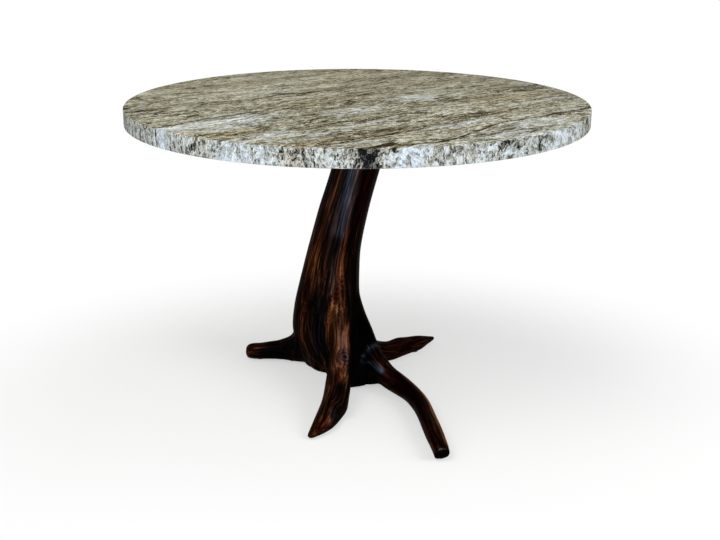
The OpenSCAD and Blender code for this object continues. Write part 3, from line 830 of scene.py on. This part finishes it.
def undercut(points, lip):
    # the belly hangs over its foot on the left and in front
    away = points[:, :2] - np.array(lip["middle"])
    distance = np.linalg.norm(away, axis=1)
    angle = np.degrees(np.arctan2(away[:, 1], away[:, 0])) % 360
    height = np.interp(angle, lip["angles"], lip["heights"], left=0, right=0)
    first, last = lip["angles"][0], lip["angles"][-1]
    fadeIn, fadeOut = lip["fadeDegrees"]
    within = np.interp(angle, (first, first + fadeIn, last - fadeOut, last), (0, 1, 1, 0), left=0, right=0)
    onTrunk = np.clip((lip["fadeFrom"] + lip["fadeOver"] - distance) / lip["fadeOver"], 0, 1)
    depth = lip["depth"] * np.clip((height - points[:, 2]) / lip["softness"], 0, 1) * within * onTrunk
    inwards = -away / np.maximum(distance, 1)[:, None]
    points[:, :2] += inwards * depth[:, None]
    return points


def flatten(points, cut):
    # what stands out of the cut's plane is laid onto it
    faces = np.array(cut["faces"]) / np.linalg.norm(cut["faces"])
    proud = (points - np.array(cut["point"])) @ faces
    near = np.linalg.norm(points - np.array(cut["point"]), axis=1) < cut["reach"]
    return points - np.where(near & (proud > 0), proud, 0)[:, None] * faces


def makeStump(values, tonesAndPaintedLight):
    piece = fineCopy("root_stump", values)
    mesh = piece.data
    edges, counts = meshEdges(mesh)
    points = readPoints(mesh)
    inwards, outwards = values["smoothing"]
    for _ in range(values["smoothSteps"]):
        points += inwards * (spread(points, edges, counts) - points)
        points -= outwards * (spread(points, edges, counts) - points)
    grain = grainPlaces(aroundKnot(points / mm))
    writePoints(mesh, points)
    points += readPoints(mesh, "normal") * swellHeights(points / mm)[:, None] * mm
    writePoints(mesh, points)

    # shallow flutes along the fibres and a slow unevenness, as a root grows: size, height, seed
    lift = sum(height * waves(grain, size, seed) for size, height, seed in values["flutes"])
    size, height, seed = values["unevenness"]
    lift += height * waves(points / mm, size, seed)
    points += readPoints(mesh, "normal") * (lift * mm)[:, None]
    points = undercut(points / mm, bellyLip) * mm
    for cut in woodCuts:
        points = flatten(points / mm, cut) * mm
    points[:, 2] = np.clip(points[:, 2], values["floorGap"], values["topHeight"])
    writePoints(mesh, points)

    # for each point the wood's own colouring, with the painted shade, painted sheen and painted highlights
    # of the table
    shade = np.zeros((len(points), 3))
    for line, reach, *change in tonesAndPaintedLight:
        near = np.exp(-(lineDistance(points / mm, line) / reach) ** 2)
        shade += near[:, None] * np.array(change)
    within, rings = knotRings(points / mm)
    shade[:, 0] += knot["ringShade"] * (rings * within)
    for name, vectors in (("grain", grain * mm), ("toneAndPaintedLight", shade)):
        held = mesh.attributes.new(name, "FLOAT_VECTOR", "POINT")
        held.data.foreach_set("vector", vectors.astype(np.float32).ravel())
    mesh.polygons.foreach_set("use_smooth", np.ones(len(mesh.polygons), bool))
    return piece


# Oiled rosewood: near-black heartwood with golden brown, red and grey-blue streaks about 6 mm wide that run
# far along the fibres;
# the grey-blue also serves as painted sheen. Sanded and oiled, and seen in even light, so the shader itself
# hardly shines
rosewood = {
    "shader": {"Roughness": 0.32, "Specular IOR Level": 0.0015, "IOR": 1.5},
    "bend": ((50, 50, 150), 7),
    "broad": ((30, 30, 360), 0.9),
    "streaks": ((6, 6, 170), 1.15),
    "fibres": ((2.2, 2.2, 50), 0.5),
    "redSize": (20, 20, 240),
    "redRange": (0.5, 0.66),
    "reddest": 0.45,
    "middle": 0.45,
    "roughness": (0.28, 0.38),
    "plain": [(0.0, "#010100"), (0.3, "#060201"), (0.44, "#110804"), (0.54, "#21110a"), (0.65, "#392115"),
              (0.78, "#543624"), (0.92, "#765740"), (1.0, "#8d6e52")],
    "golden": [(0.0, "#020100"), (0.3, "#0a0401"), (0.44, "#1b0b02"), (0.56, "#341804"), (0.68, "#4c2a0c"),
               (0.82, "#68421c"), (1.0, "#906a3c")],
    # grey-blue, for the wood's grey streaks and for painted sheen and painted highlights
    "slateAndSheen": [(0.0, "#010102"), (0.34, "#050608"), (0.5, "#0d1116"), (0.68, "#1c242d"), (0.84, "#303a46"),
              (1.0, "#4c5866")],
    "red": [(0.0, "#020000"), (0.34, "#0b0101"), (0.5, "#1d0603"), (0.66, "#371009"), (0.84, "#562216"),
            (1.0, "#74402c")],
    "bumpDepth": 0.12,
}


def makeRosewood(values):
    material, tree, surface = startMaterial("oiled rosewood", values["shader"])
    node = partial(addNode, tree)
    grain = node("ShaderNodeAttribute", out=1, attribute_name="grain")
    grain = node("ShaderNodeMapping", {0: grain, "Scale": (1 / mm,) * 3})
    # this attribute brings the painted light and shade in with the wood's own colours
    toneAndPaintedLight = node("ShaderNodeAttribute", out=1, attribute_name="toneAndPaintedLight")
    light, goldenAndSheen, reddish = node("ShaderNodeSeparateXYZ", {0: toneAndPaintedLight}).node.outputs

    size, reach = values["bend"]
    scaled = node("ShaderNodeMapping", {0: grain, "Scale": perSize(size)})
    wander = node("ShaderNodeTexNoise", {"Vector": scaled, "Scale": 1.0}, out=1)
    centred = node("ShaderNodeVectorMath", {0: wander, 1: (0.5, 0.5, 0.5)}, operation="SUBTRACT")
    bent = node("ShaderNodeVectorMath", {0: centred, 1: [2 * reach] * 3, 2: grain},
                operation="MULTIPLY_ADD")

    index = node("ShaderNodeMath", {0: light, 1: values["middle"]}, operation="ADD")
    for part in ("broad", "streaks", "fibres"):
        size, weight = values[part]
        scaled = node("ShaderNodeMapping", {0: bent, "Scale": perSize(size)})
        pattern = node("ShaderNodeTexNoise", {"Vector": scaled, "Scale": 1.0, "Detail": 2.5,
                                              "Roughness": 0.6})
        centred = node("ShaderNodeMath", {0: pattern, 1: 0.5}, operation="SUBTRACT")
        index = node("ShaderNodeMath", {0: centred, 1: weight, 2: index}, operation="MULTIPLY_ADD")
    plain, golden, slateAndSheen, red = (node("ShaderNodeValToRGB", {0: index}, stops=values[name])
                                 for name in ("plain", "golden", "slateAndSheen", "red"))
    scaled = node("ShaderNodeMapping", {0: bent, "Scale": perSize(values["redSize"])})
    redStreak = node("ShaderNodeTexNoise", {"Vector": scaled, "Scale": 1.0})
    start, full = values["redRange"]
    redStreak = node("ShaderNodeMapRange", {0: redStreak, 1: start, 2: full, 4: values["reddest"]})
    redShare = node("ShaderNodeMath", {0: redStreak, 1: reddish}, operation="ADD", use_clamp=True)
    # below 0 the colour turns grey-blue: the wood's grey streaks, and painted sheen
    slateAndSheenShare = node("ShaderNodeMath", {0: goldenAndSheen, 1: -1.0}, operation="MULTIPLY", use_clamp=True)
    colour = node("ShaderNodeMix", {0: redShare, 6: plain, 7: red}, out=2, data_type="RGBA")
    colour = node("ShaderNodeMix", {0: goldenAndSheen, 6: colour, 7: golden}, out=2, data_type="RGBA")
    colour = node("ShaderNodeMix", {0: slateAndSheenShare, 6: colour, 7: slateAndSheen}, out=2, data_type="RGBA")
    link(tree, colour, surface, "Base Color")
    low, high = noiseRange
    smoothest, roughest = values["roughness"]
    rough = node("ShaderNodeMapRange", {0: pattern, 1: low, 2: high, 3: smoothest, 4: roughest})
    link(tree, rough, surface, "Roughness")
    bump = node("ShaderNodeBump", {"Strength": 1.0, "Distance": values["bumpDepth"] * mm, "Height": index})
    link(tree, bump, surface, "Normal")
    return material


stumpPiece = makeStump(stump, woodTonesAndPaintedLight)
stumpPiece.data.materials.clear()
stumpPiece.data.materials.append(makeRosewood(rosewood))
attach(stumpPiece, "root")
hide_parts("root_stump")
print("stump ready", len(stumpPiece.data.vertices), "points")

# The fittings keep their CAD shapes and get their finishes: size of the pattern and depth of its bump in mm
unevenGloss = 0.06  # how far each finish's roughness wanders, both ways
fittings = {
    # powder coated steel: fine orange peel, satin black
    "powder coated steel": {
        "shader": {"Roughness": 0.55, "Metallic": 0.0, "Specular IOR Level": 0.4},
        "colours": ("#1d1e20", "#2a2b2d"), "size": (1.6, 1.6, 1.6), "bump": 0.05,
        "nodes": ["mounting_plate"],
    },
    # moulded rubber: matt black with a dusty bloom
    "moulded rubber": {
        "shader": {"Roughness": 0.85, "Metallic": 0.0, "Specular IOR Level": 0.3},
        "colours": ("#161616", "#242323"), "size": (3, 3, 3), "bump": 0.05, "nodes": ["setting_pads"],
    },
    # turned brass: fine turning rings, slightly dulled
    "turned brass": {
        "shader": {"Roughness": 0.32, "Metallic": 1.0},
        "colours": ("#b08d45", "#cfae66"), "size": (6, 6, 0.4), "bump": 0.02, "nodes": ["stone_inserts"],
    },
    # zinc plated steel: bluish grey, satin, uneven passivation
    "zinc plated steel": {
        "shader": {"Roughness": 0.35, "Metallic": 1.0},
        "colours": ("#a9adb2", "#c9cbcc"), "size": (4, 4, 4), "bump": 0.02,
        "nodes": ["stone_bolts", "bolt_washers", "trunk_screws", "glide_screws"],
    },
    # moulded nylon: brown, satin, scuffed by the floor
    "moulded nylon": {
        "shader": {"Roughness": 0.5, "Metallic": 0.0, "Specular IOR Level": 0.4},
        "colours": ("#160e09", "#241810"), "size": (5, 5, 2), "bump": 0.04,
        "nodes": ["left_glide", "front_glide", "right_glide", "back_glide"],
    },
}


def makeFitting(name, values):
    material, tree, surface = startMaterial(name, values["shader"])
    node = partial(addNode, tree)
    place = node("ShaderNodeTexCoord", out=3)
    scaled = node("ShaderNodeMapping", {0: place, "Scale": [1 / (s * mm) for s in values["size"]]})
    speckle = node("ShaderNodeTexNoise", {"Vector": scaled, "Scale": 1.0, "Detail": 3.0})
    dark, pale = values["colours"]
    colour = node("ShaderNodeValToRGB", {0: speckle}, stops=[(0.35, dark), (0.65, pale)])
    link(tree, colour, surface, "Base Color")
    low, high = noiseRange
    rough = values["shader"]["Roughness"]
    uneven = node("ShaderNodeMapRange", {0: speckle, 1: low, 2: high, 3: rough - unevenGloss,
                                         4: rough + unevenGloss})
    link(tree, uneven, surface, "Roughness")
    bump = node("ShaderNodeBump", {"Strength": 1.0, "Distance": values["bump"] * mm, "Height": speckle})
    link(tree, bump, surface, "Normal")
    return material


for fittingName, fittingValues in fittings.items():
    fittingMaterial = makeFitting(fittingName, fittingValues)
    for nodeName in fittingValues["nodes"]:
        dressNode(nodeName, fittingMaterial)
# the two solids that the scene's own pieces stand for
dressNode("granite_top", graniteMaterials[0])
dressNode("root_stump", stumpPiece.data.materials[0])
print("fittings ready")
